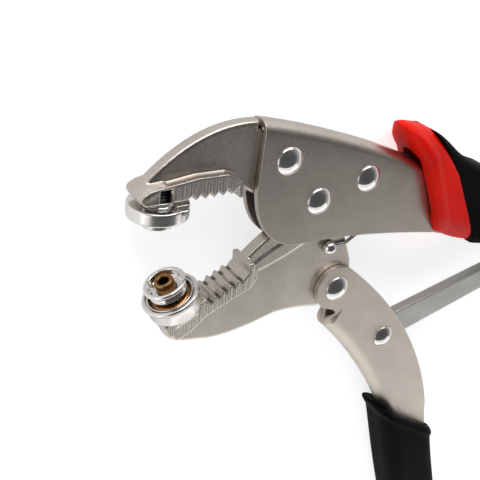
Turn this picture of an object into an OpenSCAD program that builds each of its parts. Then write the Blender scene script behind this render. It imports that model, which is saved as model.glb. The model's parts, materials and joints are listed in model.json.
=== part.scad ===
// Locking pliers with snap-setting dies, lying on their side with the jaws open.
// The jaw pivot is the design origin: -X towards the jaws, +X towards the handle ends,
// +Y towards the back of the upper handle, Z along every pivot.

/* [Upper handle] */
// Outside thickness of the pressed channels at the front
channel_t = 8.4; // [8:0.1:9]
// Thickness of the sheet steel
sheet = 1.9; // [1.6:0.1:1.9]
// Outside thickness of the upper channel where it holds the screw
rear_t = 14.8; // [14.6:0.1:15.2]
// Depth of the upper channel at its rear end
rear_depth = 17; // [16:0.5:18]
// Slope of the rear of the upper handle, in degrees
handle_slope = -15.5; // [-16:0.5:-15]

/* [Jaws] */
// Thickness of the blades that run inside the channels
blade_t = 4.2; // [4:0.1:4.4]
// Thickness of the toothed blocks
block_t = 10; // [9:0.5:11]
// Distance between teeth
tooth_pitch = 2.7; // [2.4:0.1:2.8]
// Depth of a tooth
tooth_depth = 1.3; // [1:0.1:1.5]
// Angle between the two tooth lines with the jaws open
jaw_angle = 25; // [25:0.5:26]

/* [Dies] */
// Diameter of both die rims
die_d = 17; // [16:0.5:17]
// Thickness of the upper die's disc
upper_die_h = 3.8; // [3.5:0.1:3.9]
// Diameter of the boss that presses the snap
boss_d = 8.6; // [8:0.1:9]
// Length of that boss below the disc
boss_h = 3.2; // [2:0.1:3.2]
// Diameter of the hollow in the boss, which clears the snap
boss_hollow_d = 6.9; // [6.7:0.1:7]
// Diameter of the bore in the fixed jaw's block
die_bore_d = 10.4; // [10.2:0.1:10.6]

/* [Rivets] */
// Diameter of the large domed rivet heads
rivet_head_d = 8.3; // [7.5:0.1:8.5]
// Height of the rivet heads
rivet_head_h = 1.9; // [1.5:0.1:2]
// Diameter of the rivet shanks
rivet_d = 6; // [5:0.5:6]
// Radial running clearance at the pivots
pivot_gap = 0.06; // [0.04:0.01:0.1]

/* [Adjusting screw] */
// Thread diameter
screw_d = 8; // [7:0.5:8]
// Diameter of the knurled knob
knob_d = 16; // [15:0.5:17]
// Length of the knurled knob
knob_l = 23; // [20:1:26]

/* [Grips] */
// Overall thickness of the grips and the collar, on which the tool lies
grip_t = 17; // [16.8:0.1:17]
// Thickness of the sleeve over the channel edges
sleeve = 2.2; // [1.8:0.1:2.4]
// Width of the slot for the link and lever
slot_w = 5; // [4.8:0.1:5.4]

/* [Hidden] */
$fn = 64;

eps = 0.01;
// Centre of the tool's footprint, which the finished part has over its origin
footprint = [73.06, -77.4];
rest_z = grip_t / 2;

// Pivots, all parallel to Z
jaw_pivot = [0, 0];
front_rivet = [-12, 14.4];
rear_rivet = [17.1, 4.4];
handle_pivot = [11.5, -32.3];
link_pivot = [34.3, -56.4];
screw_tip = [135, -33.6];
lever_pivot = [66, -143];
spring_post = [7.2, -17.4];
spring_anchor = [68, -17.6];
upper_die_x = -49.9;

// Sizes that follow from the ones above
half_channel = channel_t / 2;
half_cavity = half_channel - sheet;
half_rear = rear_t / 2;
half_bush = half_rear - sheet;
half_blade = blade_t / 2;
half_block = block_t / 2;
half_grip = grip_t / 2;
link_t = 3.6;
back_x = 46;
cavity_margin = 8;
reach = 200;
anchor_r = 0.8;
lever_pin_d = 3;
bush_l = 16;

function bend(a, b, c, n = 8) =
    [for (i = [0:n]) let (t = i / n) a * (1 - t) * (1 - t) + b * 2 * t * (1 - t) + c * t * t];
function arc(c, r, from, to, n = 12) =
    [for (i = [0:n]) let (a = from + (to - from) * i / n) c + r * [cos(a), sin(a)]];
function way(p, i) = let (d = p[min(i + 1, len(p) - 1)] - p[max(i - 1, 0)]) d / norm(d);
function beside(p, d) = [for (i = [0:len(p) - 1]) p[i] + d * [-way(p, i)[1], way(p, i)[0]]];
function back(p) = [for (i = [len(p) - 1:-1:0]) p[i]];
function turned(p, a) = [p[0] * cos(a) - p[1] * sin(a), p[0] * sin(a) + p[1] * cos(a)];
// A point given along and across the screw's axis, from the screw's tip
function rear(x, y) = screw_tip + turned([x, y], handle_slope);
// Saw teeth from point a along angle dir, each tip followed by its root
function teeth(a, dir, n, depth) =
    [for (i = [0:n - 1]) for (k = [0, 1])
        a + turned([(i + k * 0.35) * tooth_pitch, k * depth], dir)];

// Outlines of the upper handle: its folded back and its open edge, front to rear
upper_back = concat(bend([-20.5, 26.8], [-3, 22.8], [19.5, 14.1]),
                    bend([24, 12.2], [42, 4], rear(-58, 9.2), 6),
                    [rear(back_x, rear_depth / 2)]);
upper_edge = concat(bend([-21.7, 7], [-20.5, -12], [-5, -13.2]),
                    bend([0, -13.3], [25, -13.6], rear(-58, -8.8)),
                    [rear(back_x, -rear_depth / 2)]);
// Outlines of the lower handle: its folded back and its open edge, front to rear
lower_back = concat(bend([9.9, -46.8], [28, -65], [41, -89]),
                    bend([42.6, -92.5], [52, -118], [70.3, -175.5]));
lower_edge = concat(bend([16.5, -26.6], [50.5, -55.5], [60.8, -92.1]),
                    bend([61.8, -98], [67, -122], [83.7, -168.5]));

module in_place() {
    translate([-footprint[0], -footprint[1], rest_z]) children();
}

module plate(half) {
    linear_extrude(height = 2 * half, center = true) children();
}

// Both domed heads and the shank between them, on the far and near face of a channel
module rivet(at, face = half_channel, d = rivet_d, head_d = rivet_head_d, head_h = rivet_head_h) {
    dome_r = (pow(head_d / 2, 2) + head_h * head_h) / (2 * head_h);
    translate([at[0], at[1], 0]) {
        cylinder(d = d, h = 2 * face, center = true);
        for (side = [0, 1]) mirror([0, 0, side]) translate([0, 0, face])
            intersection() {
                translate([0, 0, head_h - dome_r]) sphere(r = dome_r);
                cylinder(d = head_d, h = head_h);
            }
    }
}

module bore(at, d) {
    translate([at[0], at[1], 0]) cylinder(d = d, h = reach, center = true);
}

// A round bar between two points
module rod(a, b, r) {
    d = b - a;
    translate(a) rotate([0, acos(d[2] / norm(d)), atan2(d[1], d[0])]) cylinder(r = r, h = norm(d));
}

// ---- pieces fixed to the upper handle ----

module upper_walls() {
    polygon(concat(upper_back, back(upper_edge)));
}

module upper_cavity(past = 0) {
    polygon(concat([[-32, 40]], [[-32, 24]], beside(upper_back, -sheet), [rear(back_x + past, 0)],
                   back(beside(upper_edge, -cavity_margin)), [[-40, -30], [-40, 40]]));
}

// Side view of the channel: narrow in front, wider round the screw
module channel_width(front, rear_half, from = -78, to = -48) {
    translate([screw_tip[0], screw_tip[1], 0]) rotate([0, 0, handle_slope])
        rotate([90, 0, 0]) linear_extrude(height = reach, center = true)
            polygon([[-reach, -front], [from, -front], [to, -rear_half], [reach, -rear_half],
                     [reach, rear_half], [to, rear_half], [from, front], [-reach, front]]);
}

module upper_handle() {
    color([0.66, 0.65, 0.62])
    difference() {
        intersection() {
            plate(half_rear) upper_walls();
            channel_width(half_channel, half_rear);
        }
        intersection() {
            plate(half_rear) upper_cavity(10);
            channel_width(half_cavity, half_bush);
        }
        bore(front_rivet, rivet_d + 2 * eps);
        bore(rear_rivet, rivet_d + 2 * eps);
        bore(jaw_pivot, rivet_d + 2 * eps);
    }
    color([0.66, 0.65, 0.62])
    translate([spring_anchor[0], spring_anchor[1], 0])
        cylinder(r = anchor_r, h = channel_t - eps, center = true);
}

// Fixed jaw: a toothed block on a blade whose tang is riveted inside the channel
blade_top = bend([-21.6, 26.6], [-40, 28.5], [-56, 12.6], 10);
upper_teeth = teeth([-42.2, 9.4], 0, 5, -tooth_depth);
module fixed_jaw() {
    tang_top = [for (p = beside(upper_back, -sheet - 0.05)) if (p[0] < 26 && p[0] > -20) p];
    color([0.7, 0.69, 0.66])
    difference() {
        union() {
            plate(half_blade) polygon(concat(back(blade_top), [[-21.6, 24.4]], tang_top,
                [[26, -2.5], [-4, -2.5], [-21.6, 5.2], [-28, 9], [-54, 9]]));
            plate(half_block) polygon(concat(
                [[-55.5, 8.4], [-57.6, 9.2], [-58.3, 10.8], [-57.8, 12.2], [-56, 13], [-52, 13.3],
                 [-40.6, 14.2], [-31.6, 13.9], [-28.4, 12.2], [-26.6, 9.8], [-26.2, 6.2],
                 [-27.6, 6.2], [-28.2, 9.4]],
                back(upper_teeth), [[-43.5, 8.4]]));
        }
        bore(jaw_pivot, 18.4);
        bore(front_rivet, rivet_d + 2 * eps);
        bore(rear_rivet, rivet_d + 2 * eps);
        translate([upper_die_x, 0, 0]) rotate([-90, 0, 0]) cylinder(d = die_bore_d, h = 12.4);
        translate([upper_die_x, 0, 0]) rotate([-90, 0, 0]) cylinder(d = 4.02, h = 17);
    }
}

module tang_rivets() {
    color("silver") {
        rivet(front_rivet);
        rivet(rear_rivet);
    }
}

module jaw_pivot_rivet() {
    color("silver") rivet(jaw_pivot);
}

// The upper die turns on the shank's thread, up against the block
upper_die_y = 7.2;
boss_hollow_h = 2.4;
module upper_die_shank() {
    color([0.12, 0.12, 0.12])
    translate([upper_die_x, upper_die_y + 1.2 + eps, 0]) rotate([-90, 0, 0]) {
        rotate_extrude() polygon(concat([[0, 0]],
            [for (i = [0:3]) each [[3.1, i * 0.9], [3.5, i * 0.9 + 0.45]]], [[3.1, 3.6], [0, 3.6]]));
        translate([0, 0, 3.6]) cylinder(d = 4, h = 4.2);
    }
}

module upper_die() {
    r = die_d / 2;
    color([0.78, 0.77, 0.74])
    translate([upper_die_x, upper_die_y, 0]) rotate([90, 0, 0])
    difference() {
        rotate_extrude() polygon([[0, -1.2], [4.6, -1.2], [4.6, 0], [r - 0.5, 0], [r, 0.5],
            [r, upper_die_h - 0.5], [r - 0.5, upper_die_h], [boss_d / 2, upper_die_h],
            [boss_d / 2, upper_die_h + boss_h - 0.2],
            [boss_d / 2 - 0.2, upper_die_h + boss_h], [boss_hollow_d / 2, upper_die_h + boss_h],
            [boss_hollow_d / 2, upper_die_h + boss_h - boss_hollow_h],
            [0, upper_die_h + boss_h - boss_hollow_h]]);
        translate([3, 5.2, -eps]) cube([4.5, 6, 1.5]);
    }
}

// The bush that the adjusting screw threads through, held in the channel's rear end
module screw_nut() {
    color([0.5, 0.5, 0.5])
    translate([screw_tip[0], screw_tip[1], 0]) rotate([0, 0, handle_slope]) rotate([0, 90, 0])
        translate([0, 0, back_x - bush_l - 1]) difference() {
            cylinder(r = half_bush - eps, h = bush_l);
            translate([0, 0, -1]) cylinder(d = screw_d + 0.1, h = bush_l + 2);
        }
}

// Sleeve over a channel: outline beyond the back and the edge, slotted along the edge
module upper_grip() {
    past_back = [for (p = beside(upper_back, sleeve)) if (p[0] > 60) p];
    past_edge = [for (p = beside(upper_edge, -sleeve)) if (p[0] > 70) p];
    color([0.07, 0.07, 0.07])
    difference() {
        plate(half_grip) polygon(concat([[59, 0.86]], past_back, back(past_edge),
                                        [[68.35, -26.1]]));
        around_upper_handle();
        // The slot that the link and spring pass through
        plate(slot_w / 2) polygon(concat([for (p = beside(upper_edge, 2)) if (p[0] > 45) p],
                                         [[190, -50], [190, -90], [45, -60]]));
    }
}

module around_upper_handle() {
    intersection() {
        plate(half_rear + 1) polygon(concat(beside(upper_back, eps),
            [rear(back_x + 5, rear_depth / 2), rear(back_x + 5, -rear_depth / 2)],
            back(beside(upper_edge, -eps))));
        channel_width(half_channel + eps, half_rear + eps);
    }
}

// The raised ring in front of the upper grip, slanted so that it guards the hand
module upper_grip_collar() {
    color([0.85, 0.1, 0.06])
    difference() {
        plate(half_grip) polygon(concat(arc([34.6, 13.6], 4, 205, 75, 6),
            [[46, 13.6], [57.1, 6.05], [68.3, -26.1]], arc([57, -22.4], 3, -75, -150, 5),
            [[48.5, -19.5]]));
        around_upper_handle();
        plate(slot_w / 2) polygon([[38, -12], [70, -12], [70, -60], [38, -60]]);
    }
}

// ---- moving pieces of the adjusting screw ----

module adjusting_screw() {
    color([0.75, 0.75, 0.73])
    translate([screw_tip[0], screw_tip[1], 0]) rotate([0, 0, handle_slope]) rotate([0, 90, 0]) {
        cylinder(d1 = screw_d - 3, d2 = screw_d, h = 2);
        translate([0, 0, 2]) cylinder(d = screw_d, h = back_x + 2);
    }
}

module screw_knob() {
    grooves = 24;
    color([0.75, 0.75, 0.73])
    translate([screw_tip[0], screw_tip[1], 0]) rotate([0, 0, handle_slope]) rotate([0, 90, 0])
        translate([0, 0, back_x + 1.2]) difference() {
            rotate_extrude() polygon([[screw_d / 2 + eps, 0], [knob_d / 2 - 2, 0], [knob_d / 2, 2],
                [knob_d / 2, knob_l - 1], [knob_d / 2 - 1, knob_l], [0, knob_l], [0, 3],
                [screw_d / 2 + eps, 3]]);
            for (i = [0:grooves - 1]) rotate([0, 0, i * 360 / grooves])
                translate([knob_d / 2, 0, 3]) rotate([0, 0, 45])
                    translate([-0.4, -0.4, 0]) cube([0.8, 0.8, knob_l]);
        }
}

// ---- lower jaw and what it carries ----

die_axis = [-sin(jaw_angle), cos(jaw_angle)];
die_rim = [-44.9, -22.8];
lower_teeth = teeth([-23.9, -20.9], 180 + jaw_angle, 5, -tooth_depth);

// A point given across and along the lower die's axis, from the middle of its rim
function at_die(a, h) = die_rim + turned([a, h], jaw_angle);

module on_lower_die() {
    translate([die_rim[0], die_rim[1], 0]) rotate([0, 0, jaw_angle]) rotate([-90, 0, 0]) children();
}

module lower_jaw() {
    color([0.7, 0.69, 0.66])
    difference() {
        union() {
            plate(half_blade) polygon(concat(
                [[16.6, -23.6], [13.5, -15.6]], arc(jaw_pivot, 8.7, -28, 213, 20),
                bend([-12, -8.2], [-15.5, -9.8], [-21.2, -14.8], 5),
                [[-22.6, -20], [-38, -27], [-44, -30], [-48, -33]],
                bend([-46, -36.2], [-43.5, -38.3], [-37, -39.2], 4),
                bend([-33, -39.9], [-25, -40.6], [-15, -38.1], 6),
                bend([-10, -36.9], [-2, -36.6], [5, -38.4], 5),
                arc(handle_pivot, 6.7, -120, 20, 8)));
            plate(half_block) polygon(concat(
                [[-18.9, -17.4], [-20.6, -15.2], [-22.1, -15.6], [-22.9, -19.2]], lower_teeth,
                [at_die(8.8, -4.4), at_die(-6.2, -4.7), at_die(-6.2, -9), at_die(-5.4, -9.9),
                 [-44.6, -35.6], [-40.5, -34.2], [-35.5, -30], [-28, -26.6], [-21.3, -23.9],
                 [-19.3, -21.4]]));
        }
        on_lower_die() translate([0, 0, -5]) cylinder(r = 8.15, h = 14);
        on_lower_die() translate([0, 0, -9.5]) cylinder(r = 2.01, h = 6);
        bore(jaw_pivot, rivet_d + 2 * pivot_gap);
        bore(handle_pivot, rivet_d + 2 * pivot_gap);
        bore(spring_post, 2.2 + 2 * eps);
    }
}

// The pin that the return spring hooks over
module spring_pin() {
    color("silver")
    translate([spring_post[0], spring_post[1], 0]) {
        translate([0, 0, -half_blade]) cylinder(d = 2.2, h = half_blade + 3.8);
        translate([0, 0, 3.8]) intersection() {
            translate([0, 0, -0.95]) sphere(r = 2.05);
            cylinder(d = 3.6, h = 1.2);
        }
    }
}

module lower_die() {
    rim = die_d / 2;
    color([0.8, 0.79, 0.76])
    on_lower_die() rotate_extrude() polygon([[0, -9], [2, -9], [2, -5 + eps], [7.4, -5 + eps],
        [7.8, -4.6], [7.8, -1.5], [rim - 0.2, -1], [rim, -0.4], [rim - 0.1, 0.2], [rim - 0.5, 0.6],
        [7.4, 0.6], [7.2, -0.8], [6.9, -0.8], [6.8, 0.3], [6.4, 0.3], [6.3, -2.6], [0, -2.6]]);
}

// The two halves of a snap that lie in the lower die
module snap_cap() {
    color([0.55, 0.4, 0.2])
    on_lower_die() rotate_extrude() polygon([[1.6, -1], [0, -1], [0, -2.6 + eps], [5.9, -2.6 + eps],
        [6.1, -1.4], [5.6, -0.2], [3.3, 0.2], [2.9, 1], [2.9, 5.3], [2.6, 5.6], [1.8, 5.6],
        [1.6, 5.2]]);
}

module snap_socket() {
    color("silver")
    on_lower_die() rotate_extrude() polygon([[3.1, 1.2], [5.2, 1.2], [5.5, 1.6], [5.2, 2.4],
        [5.4, 3.4], [6.1, 3.8], [6.25, 4.4], [6, 4.9], [5.4, 5], [5, 4.6], [4.7, 3], [3.1, 2.6]]);
}

// ---- lower handle and what it carries ----

module lower_handle() {
    ear = arc(handle_pivot, 7.4, 50, 225, 16);
    front = [[9.4, -41], [10.4, -43.4]];
    cavity_back = beside(lower_back, sheet);
    color([0.74, 0.71, 0.67])
    difference() {
        plate(half_channel)
            polygon(concat(ear, front, lower_back, back(lower_edge)));
        plate(half_cavity)
            polygon(concat([[-20, -20], [-20, -48], [4, -48], [8, -45.2]], cavity_back,
                           [[76, -185], [100, -185]],
                           back(beside(lower_edge, cavity_margin)), [[20, 0]]));
        bore(handle_pivot, rivet_d + 2 * eps);
        bore(link_pivot, rivet_d + 2 * eps);
        bore(lever_pivot, lever_pin_d + 2 * eps);
    }
}

module handle_pivot_rivet() {
    color("silver") rivet(handle_pivot);
}

module link_rivet() {
    color("silver") rivet(link_pivot, head_d = 7.4, head_h = 1.7);
}

module lever_pin() {
    color("silver") rivet(lever_pivot, half_channel, lever_pin_d, 4.6, 0.9);
}

module lower_grip() {
    // The back swells in the middle, to fill the hand
    swell = 2;
    swell_y = -88;
    swollen = [for (i = [0:len(lower_back) - 1]) let (past = max(0, lower_back[i][1] / swell_y - 1))
        beside(lower_back, -sleeve - swell * sin(180 * past))[i]];
    past_back = [for (p = swollen) if (p[1] < -94) p];
    past_edge = [for (p = beside(lower_edge, sleeve)) if (p[1] < -107) p];
    color([0.07, 0.07, 0.07])
    difference() {
        plate(half_grip) polygon(concat([[37.6, -87.4], [38.6, -91.2]], past_back,
            arc([75.9, -172.4], 9.2, 205, 335, 8), back(past_edge), [[65.4, -105.4]]));
        plate(half_channel + eps) polygon(concat(beside(lower_back, -eps), [[71.5, -178.6],
            [84.6, -171.4]], back(beside(lower_edge, eps))));
        plate(slot_w / 2) polygon(concat(beside(lower_edge, -2), [[75.5, -171], [77.5, -200],
            [120, -200], [120, -90]]));
        bore(lever_pivot, 5.2);
    }
}

// ---- toggle link and release lever ----

link_end = rear(-4.2, -0.2);
module toggle_link() {
    along = link_end - link_pivot;
    slope = atan2(along[1], along[0]);
    color([0.62, 0.61, 0.58])
    difference() {
        plate(link_t / 2) polygon(concat(arc(link_pivot, 5, slope + 90, slope + 270, 12),
            arc(link_end - turned([3.2, 0], slope), 3.2, slope - 90, slope + 90, 8)));
        bore(link_pivot, rivet_d + 2 * pivot_gap);
    }
}

module release_lever() {
    color([0.7, 0.69, 0.66])
    difference() {
        plate(link_t / 2) polygon(concat(
            arc([52.4, -97], 2.4, 20, 200, 8),
            bend([51, -101], [55, -121], [62.8, -142.5], 6),
            bend([66, -150], [72, -162], [85.6, -179.2], 6),
            arc([88.5, -177], 3.4, 220, 380, 8),
            bend([89, -171], [80, -160], [71.2, -146], 6),
            bend([69.5, -138], [59, -118], [54.7, -96.2], 6)));
        bore(lever_pivot, lever_pin_d + 2 * pivot_gap);
    }
}

// Return spring: an eye over the pin, the lead wire, the close-wound coil and the rear hook
wire_r = 0.6;
coil_r = 2.1;
module return_spring() {
    eye_z = 2.95;
    coil_from = [24, -11.6, 0];
    coil_to = [60, -15.2, 0];
    knee = wire_r * 1.1;
    color([0.3, 0.3, 0.3]) {
        translate([spring_post[0], spring_post[1], eye_z])
            rotate_extrude() translate([1.1 + wire_r + 0.08, 0]) circle(r = wire_r);
        rod([8.9, -17.5, eye_z], [13.4, -17.2, eye_z], wire_r);
        translate([13.4, -17.2, eye_z]) sphere(r = knee);
        rod([13.4, -17.2, eye_z], [18.6, -15.6, 0.6], wire_r);
        translate([18.6, -15.6, 0.6]) sphere(r = knee);
        rod([18.6, -15.6, 0.6], coil_from, wire_r);
        rod(coil_from, coil_to, coil_r);
        rod(coil_to, [66.5, -17.3, 0], wire_r);
        translate([spring_anchor[0], spring_anchor[1], 0]) rotate_extrude()
            translate([anchor_r + wire_r + 0.1, 0]) circle(r = wire_r);
    }
}

in_place() {
    upper_handle();
    fixed_jaw();
    tang_rivets();
    jaw_pivot_rivet();
    upper_die_shank();
    upper_die();
    screw_nut();
    upper_grip();
    upper_grip_collar();
    return_spring();
    adjusting_screw();
    screw_knob();
    lower_jaw();
    spring_pin();
    lower_die();
    snap_cap();
    snap_socket();
    lower_handle();
    handle_pivot_rivet();
    link_rivet();
    lower_grip();
    lever_pin();
    toggle_link();
    release_lever();
}
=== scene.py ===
import json
import math

import bmesh
import bpy
import numpy as np
from mathutils import Matrix, Vector


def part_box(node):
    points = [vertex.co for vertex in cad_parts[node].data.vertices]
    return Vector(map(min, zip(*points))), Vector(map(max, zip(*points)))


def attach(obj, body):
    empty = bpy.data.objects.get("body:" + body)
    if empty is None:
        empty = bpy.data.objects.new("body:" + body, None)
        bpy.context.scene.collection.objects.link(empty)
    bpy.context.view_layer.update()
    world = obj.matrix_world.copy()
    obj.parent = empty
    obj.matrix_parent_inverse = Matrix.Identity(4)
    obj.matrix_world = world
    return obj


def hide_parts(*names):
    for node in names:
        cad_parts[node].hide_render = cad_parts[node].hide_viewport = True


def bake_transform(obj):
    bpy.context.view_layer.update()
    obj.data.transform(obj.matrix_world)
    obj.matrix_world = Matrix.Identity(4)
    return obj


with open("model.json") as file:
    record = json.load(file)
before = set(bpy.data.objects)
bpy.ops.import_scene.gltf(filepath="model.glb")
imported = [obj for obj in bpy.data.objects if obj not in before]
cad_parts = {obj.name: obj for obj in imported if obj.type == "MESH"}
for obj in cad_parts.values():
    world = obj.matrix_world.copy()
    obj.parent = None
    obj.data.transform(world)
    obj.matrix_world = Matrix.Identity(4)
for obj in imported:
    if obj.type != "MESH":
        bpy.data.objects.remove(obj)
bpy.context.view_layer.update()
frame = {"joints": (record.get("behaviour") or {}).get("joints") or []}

# ---- the design frame: millimetres from the jaw pivot, Z along every pivot ----

JOINTS = {j["name"]: j for j in frame["joints"]}
ORIGIN = np.array(JOINTS["jaw_hinge"]["pos_m"])
MM = 0.001


def design(point):
    """A point of the row frame, in the design frame."""
    return (np.array(point) - ORIGIN) / MM


def row(points):
    """Design points in the row frame, in metres."""
    return np.asarray(points, float) * MM + ORIGIN


def node_half(node):
    """Half of a CAD node's thickness along Z, in millimetres."""
    low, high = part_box(node)
    return (high.z - low.z) / 2 / MM


def node_middle(node):
    """The middle of a CAD node's box, in the design frame."""
    return design(sum(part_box(node), Vector()) / 2)


# pivots and fixed points
HANDLE_PIVOT = design(JOINTS["handle_hinge"]["pos_m"])[:2]
LINK_PIVOT = design(JOINTS["link_hinge"]["pos_m"])[:2]
LEVER_PIVOT = design(JOINTS["lever_hinge"]["pos_m"])[:2]
SCREW_TIP = design(JOINTS["knob_turn"]["pos_m"])[:2]
SCREW_WAY = np.array(JOINTS["knob_turn"]["axis"][:2])
FRONT_RIVET = np.array([-12, 14.4])
REAR_RIVET = np.array([17.1, 4.4])
SPRING_POST = node_middle("spring_pin")[:2]
SPRING_ANCHOR = np.array([68, -17.6])
UPPER_DIE_X = node_middle("upper_die")[0]

# half thicknesses along Z; a sleeve's flat side lies below its bead
HALF_FRONT = node_half("lower_handle")
HALF_REAR = node_half("upper_handle")
HALF_GRIP = node_half("lower_grip")
HALF_SLEEVE = HALF_GRIP - 0.45
HALF_BLADE = 2.1
HALF_BLOCK = node_half("lower_jaw")

# the pressed sheet, and the gap between pieces that fit
SHEET = 1.9
FIT = 0.02
# the upper channel's rear end, and where it flares, along the screw's axis from its tip
BACK_X = 46
REAR_DEPTH = 17
FLARE_START = -78
FLARE_RUN = 30
# the lower block's slope; TOOTH_LEAN is how far along its pitch a tooth's tip lies
JAW_ANGLE = 25
TOOTH_PITCH = 2.7
TOOTH_DEPTH = 1.6
TOOTH_LEAN = 0.42
# the dies' radius; a rivet's head radius, head height and shank radius; the holes on it
DIE_R = 8.5
RIVET = (4.15, 1.9, 3)
HOLE_R = 3.06


# ---- outlines ----

def bend(a, b, c, n=16):
    """A quadratic curve from a to c, drawn towards b."""
    t = np.linspace(0, 1, n + 1)[:, None]
    return np.array(a) * (1 - t) ** 2 + np.array(b) * 2 * t * (1 - t) + np.array(c) * t * t


def arc(centre, r, start, end, n=16):
    """Points on a circle, with angles in degrees."""
    a = np.radians(np.linspace(start, end, n + 1))
    return np.array(centre) + r * np.stack([np.cos(a), np.sin(a)], 1)


def path(*parts):
    """Curves and points joined into one line."""
    return np.concatenate([np.atleast_2d(np.array(p, float)) for p in parts])


def even(line, n):
    """n points at even spacing along a line."""
    line = np.asarray(line, float)
    keep = np.r_[True, np.linalg.norm(np.diff(line, axis=0), axis=1) > 1e-6]
    line = line[keep]
    run = np.r_[0, np.cumsum(np.linalg.norm(np.diff(line, axis=0), axis=1))]
    at = np.linspace(0, run[-1], n)
    return np.stack([np.interp(at, run, line[:, k]) for k in range(line.shape[1])], 1)


def beside(line, d):
    """A line moved d to its left."""
    way = np.gradient(line, axis=0)
    way /= np.linalg.norm(way, axis=1)[:, None]
    return line + d * np.stack([-way[:, 1], way[:, 0]], 1)


def rear(x, y):
    """A point along and across the screw's axis, from the screw's tip."""
    return SCREW_TIP + x * SCREW_WAY + y * np.array([-SCREW_WAY[1], SCREW_WAY[0]])


def along_screw(x, y):
    """How far a point lies along the screw's axis, from the screw's tip."""
    return (x - SCREW_TIP[0]) * SCREW_WAY[0] + (y - SCREW_TIP[1]) * SCREW_WAY[1]


def smooth(t):
    """A ramp from 0 to 1 with soft ends."""
    t = np.clip(t, 0, 1)
    return t * t * (3 - 2 * t)


def upper_flare(along):
    """0 along the upper channel's narrow front, 1 along its wide rear."""
    return smooth((along - FLARE_START) / FLARE_RUN)


def teeth(start, degrees, n, depth):
    """Saw teeth from a point along a direction, each root followed by its tip."""
    a = math.radians(degrees)
    along = np.array([math.cos(a), math.sin(a)])
    across = np.array([-along[1], along[0]])
    return [np.array(start) + (i + k * TOOTH_LEAN) * TOOTH_PITCH * along + k * depth * across
            for i in range(n) for k in (0, 1)]


# the channels' backs and open edges: a front curve and a rear curve each
UPPER_BACK_CURVES = (([-20.5, 26.8], [-3, 22.8], [19.5, 14.1]),
                     ([24, 12.2], [42, 4], rear(-58, 9.2)))
UPPER_EDGE_CURVES = (([-21.7, 7], [-20.5, -12], [-5, -13.2]),
                     ([0, -13.3], [25, -13.6], rear(-58, -8.8)))
LOWER_BACK_CURVES = (([9.9, -46.8], [28, -65], [41, -89]),
                     ([42.6, -92.5], [52, -118], [70.3, -175.5]))
LOWER_EDGE_CURVES = (([16.5, -26.6], [50.5, -55.5], [60.8, -92.1]),
                     ([61.8, -98], [67, -122], [83.7, -168.5]))
UPPER_BACK_END = rear(BACK_X, REAR_DEPTH / 2)
UPPER_EDGE_END = rear(BACK_X, -REAR_DEPTH / 2)
UPPER_BACK = path(*[bend(*c) for c in UPPER_BACK_CURVES], UPPER_BACK_END)
UPPER_EDGE = path(*[bend(*c) for c in UPPER_EDGE_CURVES], UPPER_EDGE_END)
LOWER_BACK = path(*[bend(*c) for c in LOWER_BACK_CURVES])
LOWER_EDGE = path(*[bend(*c) for c in LOWER_EDGE_CURVES])


# ---- making meshes ----

def mesh_object(name, verts, faces, smooth_degrees=180):
    """An object in the row frame from design points; edges sharper than smooth_degrees stay crisp."""
    mesh = bpy.data.meshes.new(name)
    mesh.from_pydata(row(verts).tolist(), [], [tuple(f) for f in faces])
    mesh.validate()
    mesh.polygons.foreach_set("use_smooth", [True] * len(mesh.polygons))
    if smooth_degrees < 180:
        mesh.set_sharp_from_angle(angle=math.radians(smooth_degrees))
    thing = bpy.data.objects.new(name, mesh)
    bpy.context.scene.collection.objects.link(thing)
    return thing


def finish_piece(thing, material, body, slot, *nodes):
    """Gives a piece its material and its body, and hides the CAD nodes that it stands for; slot is
    not used.
    """
    thing.data.materials.append(material)
    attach(thing, body)
    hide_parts(*nodes)


def modifier(thing, kind, **settings):
    """Adds a modifier with its settings."""
    made = thing.modifiers.new(kind.lower(), kind)
    for name, value in settings.items():
        setattr(made, name, value)


def ring_faces(rows, columns):
    """Quads between rings of points, each ring closed on itself."""
    faces = []
    for i in range(rows - 1):
        a, b = i * columns, (i + 1) * columns
        for k in range(columns):
            m = (k + 1) % columns
            faces.append((a + k, a + m, b + m, b + k))
    return faces


def turned_frame(origin, axis):
    """Two directions across an axis, and the axis itself."""
    axis = np.array(axis, float) / np.linalg.norm(axis)
    side = np.cross(axis, [0, 0, 1.0])
    if np.linalg.norm(side) < 0.1:
        side = np.array([1.0, 0, 0])
    side /= np.linalg.norm(side)
    return np.array(origin, float), side, np.cross(axis, side), axis


def lathe(profile, origin, axis, segments=72, closed=False):
    """Points and faces of a profile (radius, height) turned about an axis.

    closed joins the profile's last point to its first.
    """
    origin, u, v, w = turned_frame(origin, axis)
    verts, angles = [], np.linspace(0, 2 * math.pi, segments, endpoint=False)
    for r, h in profile:
        ring = origin + w * h + r * (np.cos(angles)[:, None] * u + np.sin(angles)[:, None] * v)
        verts.append(ring)
    rows = len(profile)
    faces = ring_faces(rows, segments)
    if closed:
        last = (rows - 1) * segments
        faces += [(last + k, last + (k + 1) % segments, (k + 1) % segments, k)
                  for k in range(segments)]
    return np.concatenate(verts), faces


def lathe_object(name, parts, smooth_degrees=32):
    """One object from several lathed parts, each (profile, origin, axis[, closed])."""
    verts, faces, start = [], [], 0
    for part in parts:
        v, f = lathe(*part[:3], closed=len(part) > 3 and part[3])
        verts.append(v)
        faces += [tuple(i + start for i in face) for face in f]
        start += len(v)
    return tidy_mesh(mesh_object(name, np.concatenate(verts), faces, smooth_degrees))


def tidy_mesh(thing):
    """Merges points that coincide, and turns every face outwards."""
    same, speck = 2e-6, 1e-6
    made = bmesh.new()
    made.from_mesh(thing.data)
    bmesh.ops.remove_doubles(made, verts=made.verts, dist=same)
    bmesh.ops.dissolve_degenerate(made, edges=made.edges, dist=speck)
    bmesh.ops.recalc_face_normals(made, faces=made.faces)
    made.to_mesh(thing.data)
    made.free()
    return thing


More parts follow.
